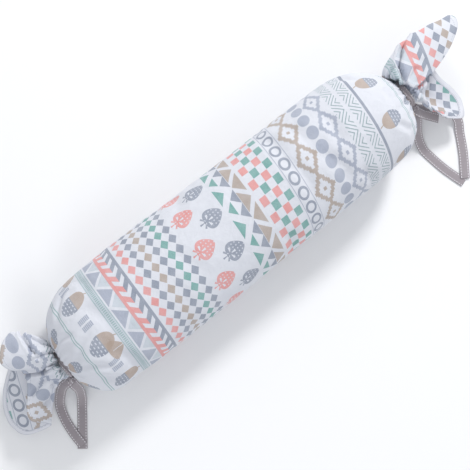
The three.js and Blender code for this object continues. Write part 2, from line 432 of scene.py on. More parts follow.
def outward(grid, side=1):
    across = np.roll(grid, -1, 1) - np.roll(grid, 1, 1)
    along = np.gradient(grid, axis=0)
    n = np.cross(across, along) * side
    return n / np.maximum(np.linalg.norm(n, axis=-1, keepdims=True), 1e-9)


def gathers(angles):
    """The gathered cloth round a neck: 0 in a valley and 1 on a crest."""
    phase = 11 * angles + 0.9 * np.sin(2 * angles + 0.5) + 0.6 * np.sin(5 * angles + 2)
    return np.abs(np.sin(phase))


def grain(points, scale, seed):
    """Smooth noise at each point of a grid, from -1 to 1, with features scale millimetres wide."""
    flat = points.reshape(-1, 3) / scale + np.array([seed, 0.37 * seed, -seed])
    out = [noise.noise(Vector(p)) for p in flat]
    return np.array(out).reshape(points.shape[:-1])


def creased(u, v):
    """How far the creases of the table move the cloth out, at a place on it."""
    out = np.zeros(np.broadcast(u, v).shape)
    for at_u, at_v, heading, length, width, depth in CREASES:
        c = math.cos(math.radians(heading))
        s = math.sin(math.radians(heading))
        along = (v - at_v) * c + (u - at_u) * s
        beside = (u - at_u) * c - (v - at_v) * s - 0.004 * along * along
        share = 1 - smoothstep(np.abs(along), 0.15 * length, 0.5 * length)
        groove = np.exp(-((beside / width) ** 2))
        shoulder = np.exp(-(((np.abs(beside) - 2 * width) / width) ** 2))
        out += depth * share * (0.4 * shoulder - groove)
    return out


def folded(grid, table):
    """How far the folds of a table push a ruffle's face in, worked out from the distance to each of them."""
    rows, columns = grid.shape[:2]
    turns = np.degrees(ANGLES)
    out = np.zeros((rows, columns))
    for depth, width, places in table:
        path = spline(places, np.linspace(0, 1, SAMPLES["fold"]))
        i = np.clip(np.round(path[:, 0] * (rows - 1)).astype(int), 0, rows - 1)
        k = np.round((path[:, 1] + 180) / 360 * columns).astype(int) % columns
        gap = np.linalg.norm(grid[:, :, None, :] - grid[i, k], axis=-1).min(axis=2)
        aside = (turns - path[:, 1].mean() + 180) % 360 - 180
        near = np.exp(-((gap / width) ** 2)) - 0.3 * np.exp(-(((gap - 2.2 * width) / width) ** 2))
        out += depth * near * (np.abs(aside) < 75)
    return out


def settle(grid, along):
    """The body's cloth let out under pressure from inside, its rest shape a plain tube, its necks held."""
    flat = np.empty_like(grid)
    radius = HALF_CLOTH / math.pi
    flat[..., 0] = along[:, None]
    flat[..., 1] = -radius * np.sin(ANGLES)
    flat[..., 2] = AXIS_HEIGHT + radius * np.cos(ANGLES)
    rows = len(grid)
    columns = np.arange(AROUND)
    after = (columns + 1) % AROUND
    lows = AROUND * np.arange(rows - 1)[:, None]
    faces = np.stack([lows + columns, lows + after, lows + AROUND + after, lows + AROUND + columns], axis=-1)
    mesh = bpy.data.meshes.new("tube")
    mesh.from_pydata((grid.reshape(-1, 3) * MM).tolist(), [], faces.reshape(-1, 4).tolist())
    obj = bpy.data.objects.new("tube", mesh)
    scene = bpy.context.scene
    scene.collection.objects.link(obj)
    obj.shape_key_add(name="Basis")
    key = obj.shape_key_add(name="flat")
    key.data.foreach_set("co", (flat * MM).ravel())
    key.value = 0
    held = obj.vertex_groups.new(name="held")
    ends = [*range(2 * AROUND), *range((rows - 2) * AROUND, rows * AROUND)]
    held.add(ends, 1.0, "REPLACE")
    modifier = obj.modifiers.new("cloth", "CLOTH")
    rules = modifier.settings
    rules.vertex_group_mass = "held"
    for name, value in CLOTH_RULES.items():
        setattr(rules, name, value)
    rules.effector_weights.gravity = 0
    rules.rest_shape_key = key
    modifier.collision_settings.use_collision = False
    modifier.point_cache.frame_start = 1
    modifier.point_cache.frame_end = LAST_FRAME
    for number in range(1, LAST_FRAME + 1):
        scene.frame_set(number)
    shaped = obj.evaluated_get(bpy.context.evaluated_depsgraph_get()).data
    out = np.empty(grid.size, np.float32)
    shaped.vertices.foreach_get("co", out)
    scene.frame_set(1)
    bpy.data.objects.remove(obj)
    bpy.data.meshes.remove(mesh)
    move = out.reshape(grid.shape) / MM - grid
    far = np.maximum(np.linalg.norm(move, axis=-1, keepdims=True), 1e-6)
    return grid + move * np.minimum(1, MOST_MOVE / far)


def measured(path):
    """The length along a line up to each of its points."""
    return np.concatenate([[0], np.cumsum(np.linalg.norm(np.diff(path, axis=0), axis=1))])


def body_panel():
    """The body's face from neck to neck, and the print's places at both ends of each face column."""
    path = spline([(x, h, 0) for x, h in BODY], np.linspace(0, 1, SAMPLES["body"]))
    length = measured(path)
    length -= length[np.argmin(np.abs(path[:, 0]))]
    even = np.linspace(0, 1, BODY_ROWS)
    share = even - CROWDING * np.sin(2 * np.pi * even) / (2 * np.pi)
    v = length[0] + share * (length[-1] - length[0])
    x = np.interp(v, length, path[:, 0])
    half = np.interp(v, length, path[:, 1])
    end = smoothstep(np.abs(x), BODY_END["from"], NECK["inner"])
    drawn = smoothstep(BODY_END["round_below"] - half, 0, BODY_END["round_over"])
    tall = HEIGHT_SHARE + (1 - HEIGHT_SHARE) * drawn
    grid = np.empty((len(v), AROUND, 3))
    grid[..., 0] = x[:, None]
    grid[..., 1] = (NECK["y"] * end)[:, None] - half[:, None] * np.sin(ANGLES)
    centre = AXIS_HEIGHT + (NECK["z"] - AXIS_HEIGHT) * end
    grid[..., 2] = centre[:, None] + (half * tall)[:, None] * np.cos(ANGLES)
    normal = outward(grid)
    u = HALF_CLOTH * ANGLES / math.pi
    # Gathers reach unevenly far along the body.
    uneven = 0.8 + 0.35 * np.sin(3 * ANGLES + 1) * np.sin(7 * ANGLES)
    begun = smoothstep(BODY_END["gather_below"] - half, 0, BODY_END["gather_over"])
    reach = begun[:, None] * uneven
    depth = GATHERS["body"] * reach
    move = depth * (gathers(ANGLES) - GATHERS["flat"])
    stretched = grid * np.array([0.55, 1, 1])
    for height, size, seed in BODY_GRAIN:
        move = move + height * grain(stretched, size, seed)
    near_end = smoothstep(np.abs(v), 210, 300)[:, None]
    height, size, seed = END_GRAIN
    move = move + height * near_end * grain(grid, size, seed)
    quiet = smoothstep(half, NECK["radius"], 30)[:, None]
    pleats = (1 - quiet) * (gathers(ANGLES) - 1) * GATHERS["neck"]
    grid = grid + normal * (move * quiet + pleats)[..., None]
    grid = settle(grid, v)
    height, size, seed = FINE_GRAIN
    wrinkled = CREASE_STRENGTH * creased(u[None, :], v[:, None]) + height * grain(stretched, size, seed)
    grid = grid + outward(grid) * (wrinkled * quiet)[..., None]
    grid[..., 2] = np.maximum(grid[..., 2], 0)
    tilt = SLANT["least"] + SLANT["more"] * smoothstep(v, SLANT["from"], SLANT["to"])
    printed = v[:, None] + tilt[:, None] * np.clip(MARKS, -SLANT["wide"], SLANT["wide"])[None, :]
    marks = np.stack([np.broadcast_to(MARKS, printed.shape), printed])
    return grid, marks[..., :-1], marks[..., 1:]


def printed_on(grid, table):
    """The print's places at both ends of each face column of a ruffle."""
    wide = np.concatenate([grid, grid[:, :1]], axis=1)
    near = np.empty((2, len(grid), AROUND))
    far = np.empty((2, len(grid), AROUND))
    for k in range(AROUND):
        turn = math.degrees(ANGLES[k] + math.pi / AROUND) % 360
        for start, stop, heading, point, at_u, at_v in table:
            if start <= turn < stop or start <= turn + 360 < stop:
                c = math.cos(math.radians(heading))
                s = math.sin(math.radians(heading))
                for out, column in ((near, k), (far, k + 1)):
                    x, y, z = (wide[:, column] - np.array(point)).T
                    out[0, :, k] = at_u + x * s - y * c - PRINT_DROP * z
                    out[1, :, k] = at_v + x * c + y * s
    return near, far


def ruffle_panels(side, mid, rim, folds, table):
    """The outer and the inner face of a ruffle, from the neck to the rim."""
    lines = []
    for k in range(AROUND):
        a = ANGLES[k]
        turn = math.degrees(a) % 360
        hub = np.array([side * NECK["outer"], NECK["y"], NECK["z"]])
        root = hub + NECK["radius"] * SPOKES[k]
        before = np.array([side * NECK["inner"], root[1], root[2]])
        collar = hub + (COLLAR["radius"] - COLLAR["radius_change"] * math.sin(a)) * SPOKES[k]
        back = COLLAR["back"][side] * max(0.0, -math.sin(a))
        collar[0] = side * (NECK["outer"] + COLLAR["out"] + COLLAR["out_change"] * math.sin(a) - back)
        lines.append([before, root, collar, loop_at(mid, turn), loop_at(rim, turn)])
    lines = np.array(lines).transpose(1, 0, 2)
    share = np.linspace(0, 1, RUFFLE_ROWS)
    grid = spline(lines, 0.25 + 0.75 * share)
    normal = outward(grid, side)
    step = np.linalg.norm(np.diff(grid, axis=0), axis=-1)
    run = np.concatenate([np.zeros((1, AROUND)), np.cumsum(step, axis=0)])
    left = run[-1][None, :] - run
    reach = 0.42 + 0.3 * np.sin(1.5 * ANGLES + 1.1 * side) ** 2 + 0.12 * np.sin(7 * ANGLES)
    fade = 1 - smoothstep(share[:, None] / reach[None, :], 0.0, 1.0)
    ridge = gathers(ANGLES)[None, :] - GATHERS["flat"]
    freed = smoothstep(share, 0, 0.12)
    move = GATHERS["ruffle"] * fade * freed[:, None] * ridge
    move = move + (gathers(ANGLES)[None, :] - 1) * GATHERS["neck"] * (1 - freed)[:, None]
    for height, size, seed in RUFFLE_GRAIN:
        move = move + height * smoothstep(share, 0.05, 0.3)[:, None] * grain(grid, size, seed + side)
    move = move - smoothstep(share, 0.0, 0.1)[:, None] * folded(grid, folds)
    grid = grid + normal * move[..., None]
    if side > 0:
        # The near lip leans out and shows the hem inside it.
        turns = np.degrees(ANGLES)
        lip = smoothstep(turns, *LIP["rise"]) * (1 - smoothstep(turns, *LIP["fall"]))
        pull = LIP["out"] * lip[None, :] * (1 - smoothstep(left, 0, LIP["wide"]))
        grid = grid + pull[..., None] * np.array(LIP_HEADING)
    grid[..., 2] = np.maximum(grid[..., 2], 1.0)
    hem = 1 - smoothstep(left, HEM["width"] - 1.2, HEM["width"] + 0.2)
    groove = np.exp(-(((left - HEM["width"] + HEM["stitch"]) / HEM["groove_width"]) ** 2))
    grid = grid + normal * (0.5 * HEM["extra"] * hem - HEM["groove"] * groove)[..., None]
    wall = WALL + HEM["extra"] * hem
    inner = grid - outward(grid, side) * wall[..., None]
    near, far = printed_on(grid, table)
    edge = np.concatenate([left, left[:, :1]], axis=1)
    return grid, inner, near, far, edge


def cover_mesh():
    body, near, far = body_panel()
    blank = np.full((len(body), AROUND + 1), FAR_FROM_HEM)
    sides = {
        -1: ruffle_panels(-1, LEFT_MID, LEFT_RIM, LEFT_FOLDS, LEFT_PRINT),
        1: ruffle_panels(1, RIGHT_MID, RIGHT_RIM, RIGHT_FOLDS, RIGHT_PRINT),
    }
    first = CAVITY["row"]

    def outside(side):
        outer, _, u_v, u_v_far, edge = sides[side]
        turns = np.degrees(ANGLES)
        low, high = LIP["bound"]
        # The hem of the right ruffle's near lip is bound, so it is plain on both faces.
        bound = ((turns > low) & (turns < high)) * float(side > 0)
        return outer, u_v, u_v_far, edge, bound

    def inside(side):
        _, inner, u_v, u_v_far, edge = sides[side]
        hub = np.array([side * (NECK["outer"] + CAVITY["out"]), NECK["y"], NECK["z"]])
        floor = hub + CAVITY["radius"] * SPOKES
        grid = np.concatenate([floor[None], inner[first:]])
        near, far = (
            np.concatenate([m[:, first : first + 1] - CAVITY["print_back"], m[:, first:]], axis=1)
            for m in (u_v, u_v_far)
        )
        edge = np.concatenate([edge[first : first + 1] + CAVITY["edge_on"], edge[first:]])
        return grid, near, far, edge, np.ones(AROUND)

    def turned(panel):
        grid, start, stop, edge, lining = panel
        return grid[::-1], start[:, ::-1], stop[:, ::-1], edge[::-1], lining

    panels = [
        inside(-1),
        turned(outside(-1)),
        (body, near, far, blank, np.zeros(AROUND)),
        outside(1),
        turned(inside(1)),
    ]
    vertices = np.concatenate([panel[0].reshape(-1, 3) for panel in panels])
    columns = np.arange(AROUND)
    after = (columns + 1) % AROUND
    faces = []
    cloth = []
    edges = []
    row = 0
    for number, (grid, start, stop, edge, lining) in enumerate(panels):
        for i in range(-1 if number else 0, len(grid) - 1):
            low = (row + i) * AROUND
            high = low + AROUND
            j = max(i, 0)
            faces.append(np.stack([low + columns, low + after, high + after, high + columns], axis=-1))
            cloth.append(np.stack([start[:, j], stop[:, j], stop[:, i + 1], start[:, i + 1]], axis=-1))
            fringe = [edge[j, :-1], edge[j, 1:], edge[i + 1, 1:], edge[i + 1, :-1]]
            plain = np.repeat(lining[:, None], 4, axis=1)
            edges.append(np.stack([np.stack(fringe, axis=-1), plain]))
        row += len(grid)
    faces = np.concatenate(faces).tolist()
    cloth = np.concatenate(cloth, axis=1).reshape(2, -1).T
    edges = np.concatenate(edges, axis=1).reshape(2, -1).T
    # The two cavity floors close with a fan each.
    last = (row - 1) * AROUND
    tips = np.stack([vertices[:AROUND].mean(axis=0), vertices[last:].mean(axis=0)])
    for k in range(AROUND):
        n = int(after[k])
        faces.append((row * AROUND, n, k))
        faces.append((row * AROUND + 1, last + k, last + n))
    vertices = np.concatenate([vertices, tips])
    spare = 6 * AROUND
    mesh = bpy.data.meshes.new("cover")
    mesh.from_pydata((vertices * MM).tolist(), [], faces)
    layer = mesh.uv_layers.new(name="cloth")
    marks = np.concatenate([cloth * MM, np.tile([0.0, -0.9], (spare, 1))])
    layer.data.foreach_set("uv", marks.ravel())
    layer = mesh.uv_layers.new(name="edge")
    marks = np.concatenate([edges * [MM, 1.0], np.tile([FAR_FROM_HEM * MM, 1.0], (spare, 1))])
    layer.data.foreach_set("uv", marks.ravel())
    mesh.validate()
    mesh.update()
    mesh.shade_smooth()
    return mesh


# Where a two-coloured triangle changes colour, as a share of its half length.
TIP_SHARE = -0.1


class Field:
    """A number worked out by the shader, so that its formulas read as plain ones."""

    def __init__(self, tree, socket):
        self.tree = tree
        self.socket = socket

    def calc(self, operation, *others):
        node = self.tree.nodes.new("ShaderNodeMath")
        node.operation = operation
        for place, value in enumerate((self, *others)):
            if isinstance(value, Field):
                self.tree.links.new(value.socket, node.inputs[place])
            else:
                node.inputs[place].default_value = value
        return Field(self.tree, node.outputs[0])

    def __add__(self, other):
        return self.calc("ADD", other)

    __radd__ = __add__

    def __sub__(self, other):
        return self.calc("SUBTRACT", other)

    def __rsub__(self, other):
        return (self * -1) + other

    def __mul__(self, other):
        return self.calc("MULTIPLY", other)

    __rmul__ = __mul__

    def __truediv__(self, other):
        return self.calc("DIVIDE", other)

    def __gt__(self, other):
        return self.calc("GREATER_THAN", other)

    def __lt__(self, other):
        return self.calc("LESS_THAN", other)

    def __abs__(self):
        return self.calc("ABSOLUTE")

    def __and__(self, other):
        return self.calc("MULTIPLY", other)

    def __or__(self, other):
        return self.calc("MAXIMUM", other)

    def cos(self):
        return self.calc("COSINE")

    def sin(self):
        return self.calc("SINE")

    def root(self):
        return self.calc("SQRT")

    def floor(self):
        return self.calc("FLOOR")

    def fract(self):
        return self.calc("FRACT")

    def least(self, other):
        return self.calc("MINIMUM", other)

    def most(self, other):
        return self.calc("MAXIMUM", other)

    def angle(self, other):
        return self.calc("ARCTAN2", other)

    def between(self, low, high):
        return (self > low) & (self < high)

    def repeat(self, pitch, start=0.0):
        """The place within a repeat, from minus to plus half a pitch."""
        return (((self - start) / pitch + 0.5).fract() - 0.5) * pitch


# Motifs. Across runs round the pillow and along runs down its length, both from the motif's middle,
# in millimetres. Half is half the motif's length and wide half its width, or its pitch for an arm.
def line(across, along, half, wide):
    return abs(along) < half


def ladder(across, along, half, wide):
    rails = abs(along).between(half - 0.9, half)
    rungs = (abs(along) < 0.5 * half) & (abs(across.repeat(3.4)) < 0.9)
    return rails | rungs


def diamond(across, along, half, wide):
    return (abs(across) / wide + abs(along) / half) < 1


def triangle(across, along, half, wide):
    return (abs(across) < (half - along) * (wide / (2 * half))) & (abs(along) < half)


def point_back(across, along, half, wide):
    return triangle(across, along * -1, half, wide)


def point_back_split(across, along, half, wide):
    """The foot of a triangle, with a plain one cut out of its middle."""
    white = abs(across) < (half - along) * (0.52 * wide / half)
    return point_back(across, along, half, wide) & (1 - white) & (along > TIP_SHARE * half)


def point_back_tip(across, along, half, wide):
    return point_back(across, along, half, wide) & (along < TIP_SHARE * half)


def arm(across, along, pitch, low, high):
    """One slanting half of a row of chevrons."""
    stroke = abs((across + abs(along)).repeat(pitch)) < 0.27 * pitch
    return stroke & along.between(low, high)


def arm_left(across, along, half, wide):
    return arm(across, along, wide, -half, 0)


def arm_right(across, along, half, wide):
    return arm(across, along, wide, 0, half)


def block(across, along, half, wide):
    return (abs(across) < wide) & (abs(along) < half)


def oval(across, along, half, wide):
    return ((across / wide) * (across / wide) + (along / half) * (along / half)) < 1


def ring(across, along, half, wide):
    return oval(across, along, half, wide) & (1 - oval(across, along, 0.62 * half, 0.62 * wide))


def stepped(across, along, half, wide):
    """A diamond's outline drawn in small steps."""
    a = ((abs(across) * (9 / wide)).floor() + 0.5) / 9
    b = ((abs(along) * (6 / half)).floor() + 0.5) / 6
    size = a + b
    return size.between(0.74, 1.16) | (size < 0.22)


def nested(across, along, half, wide):
    size = abs(across) * (half / wide) + abs(along)
    lines = abs(size.repeat(7.0, 2.0)) < 1.05
    return lines & (abs(along) > 3.0) & (abs(along) < half)


def berry(across, along, half, wide):
    taper = 1 - (along + 2) * (0.4 / half)
    fruit = oval(across / taper, along - 1.5, half - 1.5, wide)
    seeds = abs((along * 0.58).cos() * (across * 0.58).cos()) > 0.8
    calyx = berry_leaf(across, along + half * 0.5)
    return fruit & (1 - (seeds & (along > -0.3 * half)) * 0.8) & (1 - calyx)


def berry_leaf(across, along):
    reach = (across * across + along * along).root()
    rays = (across.angle(along) * 5).cos() > 0.55
    return rays & reach.between(2.5, 9.5)


def berry_stalk(across, along, half, wide):
    shifted = along + 0.66 * half
    reach = (across * across + shifted * shifted).root()
    rays = (across.angle(shifted * -1) * 6).cos() > 0.6
    return rays & reach.between(1.5, 10.0) & (shifted < 1.0)


def acorn_nut(across, along, half, wide):
    body = oval(across, along + 1.0, 0.95 * half, 0.86 * wide) & (along > 0)
    stem = block(across - 1.0 - (along - half) * 0.4, along - half, 0.2 * half, 0.9)
    return body | stem


def acorn_cap(across, along, half, wide):
    cap = oval(across, along + 1.0, 0.95 * half, wide) & (along < 0)
    row = (along / 5.2).floor()
    dashes = (abs(along.repeat(5.2, 2.6)) < 0.8) & (abs((across + row * 3.6).repeat(7.2)) < 2.0)
    return cap & (1 - dashes * 0.85)


def nut_back(across, along, half, wide):
    return acorn_nut(across, along * -1, half, wide)


def cap_back(across, along, half, wide):
    return acorn_cap(across, along * -1, half, wide)


def leaf(across, along, half, wide):
    taper = 1 - along * (0.55 / half)
    blade = oval(across / taper, along, half, wide)
    vein = abs(across) < 0.5
    return blade & (1 - (vein & (along > -0.5 * half)))


def bars(across, along, half, wide):
    both = (abs(across).between(0.16 * wide, wide)) & (abs(along) < half)
    ribs = abs(along.repeat(2.6)) < 1.0
    return both & ribs


# The print, from the left end: motif, middle along the cloth, half length, pitch round, start round,
# half width, ink.
PRINT = [
    (line, -294.6, 0.8, 0, 0, 0, "mint"),
    (line, -290.8, 0.8, 0, 0, 0, "mint"),
    (acorn_cap, -262.0, 22.0, 80, -62, 16, "grey"),
    (acorn_nut, -262.0, 22.0, 80, -62, 18, "nut"),
    (bars, -264.0, 9.0, 80, -22, 10, "mist"),
    (leaf, -250.0, 12.0, 160, 38, 15, "nut"),
    (line, -232.0, 6.4, 0, 0, 0, "pale"),
    (ladder, -232.0, 5.6, 0, 0, 0, "mint"),
    (triangle, -213.6, 9.8, 40, 5, 17.5, "mist"),
    (point_back, -211.0, 8.6, 40, 25, 15.5, "pale"),
    (line, -201.5, 2.4, 0, 0, 0, "coral"),
    (arm_left, -190.0, 10.0, 19.5, -4, 19.5, "coral"),
    (arm_right, -190.0, 9.6, 19.5, -4, 19.5, "grey"),
    (line, -178.4, 2.2, 0, 0, 0, "grey"),
    (diamond, -165.9, 7.0, 19.5, -1.5, 8.9, "coral"),
    (diamond, -150.9, 7.0, 19.5, -1.5, 8.9, "grey"),
    (diamond, -136.2, 7.0, 19.5, -1.5, 8.9, "taupe"),
    (diamond, -121.4, 7.0, 19.5, -1.5, 8.9, "grey"),
    (diamond, -106.8, 7.0, 19.5, -1.5, 8.9, "teal"),
    (diamond, -92.2, 7.0, 19.5, -1.5, 8.9, "grey"),
    (berry_stalk, -63.0, 16.8, 60, 2.4, 16, "coral"),
    (berry, -63.0, 16.8, 60, 2.4, 16, "coral"),
    (berry_stalk, -28.3, 16.8, 60, 32.0, 16, "grey"),
    (berry, -28.3, 16.8, 60, 32.0, 16, "grey"),
    (triangle, -0.6, 6.6, 59, 11.8, 17.0, "teal"),
    (point_back_tip, 7.2, 12.4, 59, -17.7, 27.0, "teal"),
    (point_back_split, 7.2, 12.4, 59, -17.7, 27.0, "grey"),
    (triangle, 28.2, 8.0, 59, -17.7, 19.0, "taupe"),
    (point_back, 28.2, 8.0, 59, 11.8, 19.0, "taupe"),
    (block, 47.5, 5.7, 30, 2.0, 7.4, "coral"),
    (block, 59.2, 5.7, 30, 17.0, 7.4, "teal"),
    (block, 71.0, 5.7, 30, 2.0, 7.4, "coral"),
    (block, 82.8, 5.7, 30, 17.0, 7.4, "teal"),
    (line, 92.4, 0.5, 0, 0, 0, "mist"),
    (ring, 102.6, 9.0, 27, 2.4, 11.4, "grey"),
    (line, 113.2, 0.5, 0, 0, 0, "mist"),
    (stepped, 134.4, 15.4, 55, -9.0, 27.0, "taupe"),
    (oval, 163.2, 9.4, 27, -9.6, 11.4, "mist"),
    (stepped, 189.8, 13.6, 55, -33.0, 27.0, "mist"),
    (nested, 225.4, 18.6, 40, -15.0, 20.0, "sage"),
    (line, 249.0, 2.2, 0, 0, 0, "grey"),
    (cap_back, 275.0, 19.0, 86, -62, 16, "grey"),
    (nut_back, 275.0, 19.0, 86, -62, 18, "nut"),
]


# The weave's thread pitch, the ribbon's weave and its rows of stitches, and the reach of the seam.
THREAD = 0.9
TAPE = {
    "rib": 0.8,
    "twill": 1.7,
    "border": 6.9,
    "stitch_line": 5.5,
    "stitch_half_width": 0.62,
    "stitch_pitch": 4.4,
    "stitch_half_length": 1.2,
}
BODY_SEAM = 500


def shader(name):
    """A new node material, with its tree and its surface shader."""
    material = bpy.data.materials.new(name)
    material.use_nodes = True
    tree = material.node_tree
    return material, tree, tree.nodes["Principled BSDF"]


def coordinates(tree, layer):
    """A UV layer's node and its two numbers, lengths among them in metres."""
    source = tree.nodes.new("ShaderNodeUVMap")
    source.uv_map = layer
    split = tree.nodes.new("ShaderNodeSeparateXYZ")
    tree.links.new(source.outputs["UV"], split.inputs[0])
    return source, Field(tree, split.outputs[0]), Field(tree, split.outputs[1])


def noise_field(tree, vector, scale, detail=2.0):
    node = tree.nodes.new("ShaderNodeTexNoise")
    node.inputs["Scale"].default_value = scale
    node.inputs["Detail"].default_value = detail
    tree.links.new(vector, node.inputs["Vector"])
    return Field(tree, node.outputs["Fac"])


def blend_colour(tree, share, under, over):
    """One colour laid over another by a share; each is a colour or a socket."""
    node = tree.nodes.new("ShaderNodeMix")
    node.data_type = "RGBA"
    tree.links.new(share.socket, node.inputs[0])
    for place, value in ((6, under), (7, over)):
        if isinstance(value, tuple):
            node.inputs[place].default_value = value
        else:
            tree.links.new(value, node.inputs[place])
    return node.outputs[2]


def relief(tree, height, distance, strength):
    node = tree.nodes.new("ShaderNodeBump")
    node.inputs["Distance"].default_value = distance
    node.inputs["Strength"].default_value = strength
    tree.links.new(height.socket, node.inputs["Height"])
    return node.outputs["Normal"]


def cotton():
    material, tree, surface = shader("printed_cotton")
    source, u, v = coordinates(tree, "cloth")
    _, edge, lining = coordinates(tree, "edge")
    uv = source.outputs["UV"]
    u = u * TO_MM
    v = v * TO_MM
    edge = edge * TO_MM
    place = ((v + PERIOD_START) / PERIOD).fract() * PERIOD - PERIOD_START
    grain_fine = noise_field(tree, uv, 900, 2)
    grain_wide = noise_field(tree, uv, 45, 3)
    # The ink is worn a little thin here and there.
    cover = (grain_fine * 0.6 + 0.56).least(1.0) * (grain_wide * 0.5 + 0.74)
    cover = cover.least(1.0)
    colour = INKS["cloth"]
    for motif, middle, half, pitch, start, wide, ink in PRINT:
        along = place - middle
        across = u.repeat(pitch, start) if pitch else u
        mask = motif(across, along, half, wide) & cover
        colour = blend_colour(tree, mask, colour, INKS[ink])
    # The folded hem shows plain cloth on the inside, and a row of stitches on both faces.
    inside = lining > 0.5
    turned = (edge < HEM["width"]) & inside
    colour = blend_colour(tree, turned, colour, INKS["hem"])
    # Painted shade: a dark line along the hem's inner border, on the inside face.
    painted_hem_shade = abs(edge - HEM["width"]) < 0.45
    colour = blend_colour(tree, (painted_hem_shade & inside) * 0.55, colour, INKS["painted_hem_shade"])
    stitch = abs(edge - HEM["width"] + HEM["stitch"]) < 0.4
    stitch = stitch & (abs(u.repeat(3.0)) < 1.0)
    colour = blend_colour(tree, stitch * 0.7, colour, INKS["stitch"])
    # Painted shade: the cloth is darkened within 0.7 mm of the rim, where it folds over.
    fold = edge < 0.7
    colour = blend_colour(tree, fold * 0.35, colour, INKS["fold"])
    # Two selvedges meet in a plain seam underneath.
    on_body = abs(v) < BODY_SEAM
    seam = abs(abs(u) - HALF_CLOTH) < 1.2
    colour = blend_colour(tree, (seam & on_body) * 0.5, colour, INKS["seam"])
    ink = tree.nodes.new("ShaderNodeRGBToBW")
    tree.links.new(colour, ink.inputs[0])
    ink = Field(tree, ink.outputs[0])
    thread = (u * (2 * math.pi / THREAD)).sin() * (v * (2 * math.pi / THREAD)).sin()
    shade = thread * 0.03 + (grain_wide - 0.5) * 0.08 + (grain_fine - 0.5) * 0.06
    colour = blend_colour(tree, (shade + 0.06).most(0.0), colour, INKS["shade"])
    tree.links.new(colour, surface.inputs["Base Color"])
    creases = noise_field(tree, uv, 75, 4)
    seam_groove = (abs(abs(u) - HALF_CLOTH) < 1.6) & on_body
    height = thread * 0.4 + grain_fine * 0.8 + grain_wide * 2.0
    height = height + creases * 8.0 - ink * 3.0 - seam_groove * 1.5
    tree.links.new(relief(tree, height, 0.0005, 0.6), surface.inputs["Normal"])
    rough = grain_wide * 0.12 + 0.78
    tree.links.new(rough.socket, surface.inputs["Roughness"])
    surface.inputs["Sheen Weight"].default_value = 0.15
    surface.inputs["Sheen Roughness"].default_value = 0.5
    surface.inputs["Specular IOR Level"].default_value = 0.25
    return material


def grosgrain():
    material, tree, surface = shader("ribbon_weave")
    source, across, along = coordinates(tree, "cloth")
    uv = source.outputs["UV"]
    across = across * TO_MM
    along = along * TO_MM
    side = abs(across)
    mottled = noise_field(tree, uv, 260, 3)
    ribs = (along * (2 * math.pi / TAPE["rib"])).sin()
    twill = ((along + side) * (2 * math.pi / TAPE["twill"])).sin()
    colour = blend_colour(tree, mottled * 0.7, INKS["tape"], INKS["tape_dark"])
    colour = blend_colour(tree, (twill * 0.16 + 0.1).most(0.0), colour, INKS["tape_twill"])
    border = side > TAPE["border"]
    colour = blend_colour(tree, border * 0.55, colour, INKS["tape_border"])
    on_line = abs(side - TAPE["stitch_line"]) < TAPE["stitch_half_width"]
    stitch = on_line & (abs(along.repeat(TAPE["stitch_pitch"])) < TAPE["stitch_half_length"])
    colour = blend_colour(tree, stitch * 0.92, colour, INKS["tape_stitch"])
    tree.links.new(colour, surface.inputs["Base Color"])
    height = ribs * 0.4 + twill * 0.5 + stitch * 1.6 + mottled * 0.6
    tree.links.new(relief(tree, height, 0.0004, 0.6), surface.inputs["Normal"])
    rough = mottled * 0.15 + 0.6
    tree.links.new(rough.socket, surface.inputs["Roughness"])
    surface.inputs["Sheen Weight"].default_value = 0.2
    surface.inputs["Specular IOR Level"].default_value = 0.3
    return material


def place_piece(name, mesh, material):
    obj = bpy.data.objects.new(name, mesh)
    bpy.context.scene.collection.objects.link(obj)
    mesh.materials.append(material)
    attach(obj, "root")
    return obj


class Strip:
    """Closed pieces of ribbon gathered into one mesh, with the place on the cloth kept at each corner."""

    def __init__(self):
        self.vertices = []
        self.faces = []
        self.marks = []

    def grid(self, points, u, v, wrap_rows=False):
        """Adds a tube of points, rows by columns round a closed section."""
        base = len(self.vertices)
        rows, columns = points.shape[:2]
        self.vertices.extend(points.reshape(-1, 3).tolist())
        for i in range(rows if wrap_rows else rows - 1):
            j = (i + 1) % rows
            for k in range(columns):
                n = (k + 1) % columns
                low = base + i * columns
                high = base + j * columns
                self.faces.append((low + k, low + n, high + n, high + k))
                self.marks.extend(((u[k], v[i]), (u[n], v[i]), (u[n], v[i + 1]), (u[k], v[i + 1])))
        if not wrap_rows:
            self.faces.append(tuple(base + k for k in reversed(range(columns))))
            self.marks.extend((u[k], v[0]) for k in reversed(range(columns)))
            last = base + (rows - 1) * columns
            self.faces.append(tuple(last + k for k in range(columns)))
            self.marks.extend((u[k], v[rows - 1]) for k in range(columns))

    def mesh(self, name):
        mesh = bpy.data.meshes.new(name)
        mesh.from_pydata((np.array(self.vertices) * MM).tolist(), [], self.faces)
        layer = mesh.uv_layers.new(name="cloth")
        layer.data.foreach_set("uv", (np.array(self.marks) * MM).ravel())
        mesh.validate()
        mesh.update()
        mesh.shade_smooth()
        return mesh


# The upper face of the ribbon's section: place across, height.
SECTION = [
    (-7.5, -0.35),
    (-7.3, -0.02),
    (-6.8, 0),
    (-4, 0),
    (0, 0),
    (4, 0),
    (6.8, 0),
    (7.3, -0.02),
    (7.5, -0.35),
]


def section():
    bottom = [(w, -RIBBON["thick"] - h) for w, h in reversed(SECTION[1:-1])]
    return np.array(SECTION + bottom, float)


